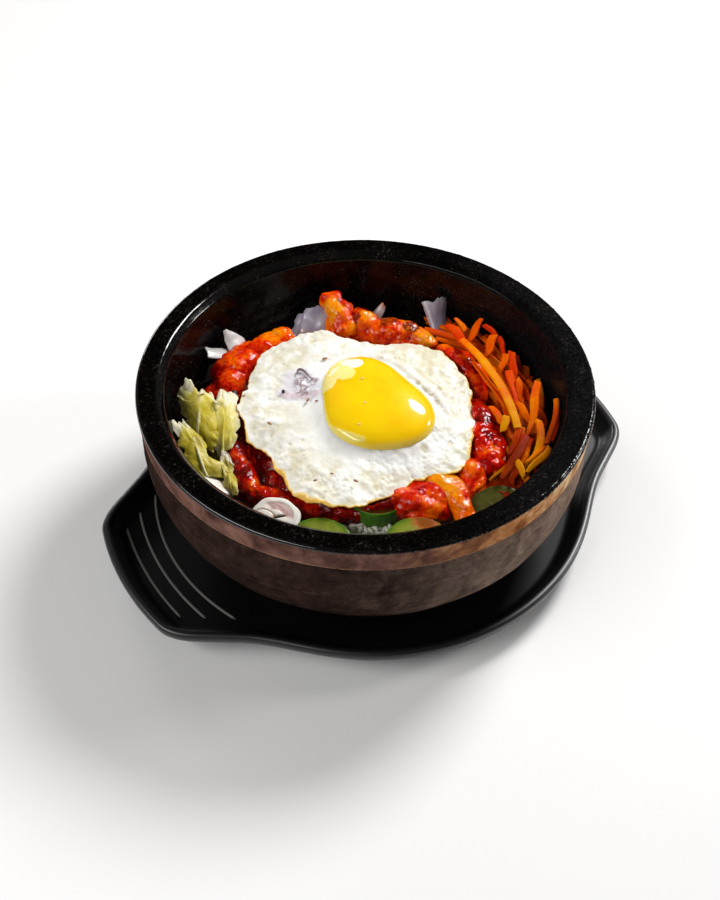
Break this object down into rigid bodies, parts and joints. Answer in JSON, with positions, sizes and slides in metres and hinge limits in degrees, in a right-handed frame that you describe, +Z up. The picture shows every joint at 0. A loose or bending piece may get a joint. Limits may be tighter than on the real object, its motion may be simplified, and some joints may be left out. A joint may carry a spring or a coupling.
{
  "type": "bibimbap in a stone bowl",
  "caption": "Stone bowl of mixed rice topped with a fried egg, glazed meat, carrot sticks and vegetables, standing on its winged black tray.",
  "frame": {"origin": "on the table, under the middle of the tray", "axes": "+X along the tray's wings, +Z up out of the bowl, +Y across the tray away from the front"},
  "size_m": [0.231, 0.1874, 0.0735],
  "materials": {
    "stone": "turned dark stone, glossy black on the rim and inside, dull brown outside",
    "tray_melamine": "black melamine, satin",
    "rice": "cooked white rice, moist",
    "egg_white": "fried egg white, moist, browned at its edge",
    "egg_yolk": "soft fried yolk, wet and glossy",
    "meat": "meat in a thick red chilli glaze",
    "carrot": "carrot sticks, lightly oiled",
    "cabbage": "blanched cabbage leaf, moist",
    "onion": "onion petals, moist and slightly translucent",
    "mushroom": "sliced button mushroom",
    "cucumber": "cucumber slices with dark skin"
  },
  "bodies": {
    "root": {"stone_bowl": "stone", "tray": "tray_melamine", "rice_bed": "rice", "egg_white": "egg_white", "yolk": "egg_yolk", "meat_left": "meat", "meat_back_lobe": "meat", "meat_back": "meat", "meat_upper_right": "meat", "meat_right": "meat", "meat_lower_right": "meat", "meat_slab": "meat", "meat_front": "meat", "meat_long": "meat", "carrot_heap": "carrot", "cabbage_upper": "cabbage", "cabbage_lower": "cabbage", "onion_left_upper": "onion", "onion_left_lower": "onion", "onion_back_left": "onion", "onion_back_sliver": "onion", "onion_back_right": "onion", "mushroom_front": "mushroom", "mushroom_left": "mushroom", "cucumber_left": "cucumber", "cucumber_skin": "cucumber", "cucumber_front": "cucumber", "cucumber_right": "cucumber"}
  },
  "joints": []
}
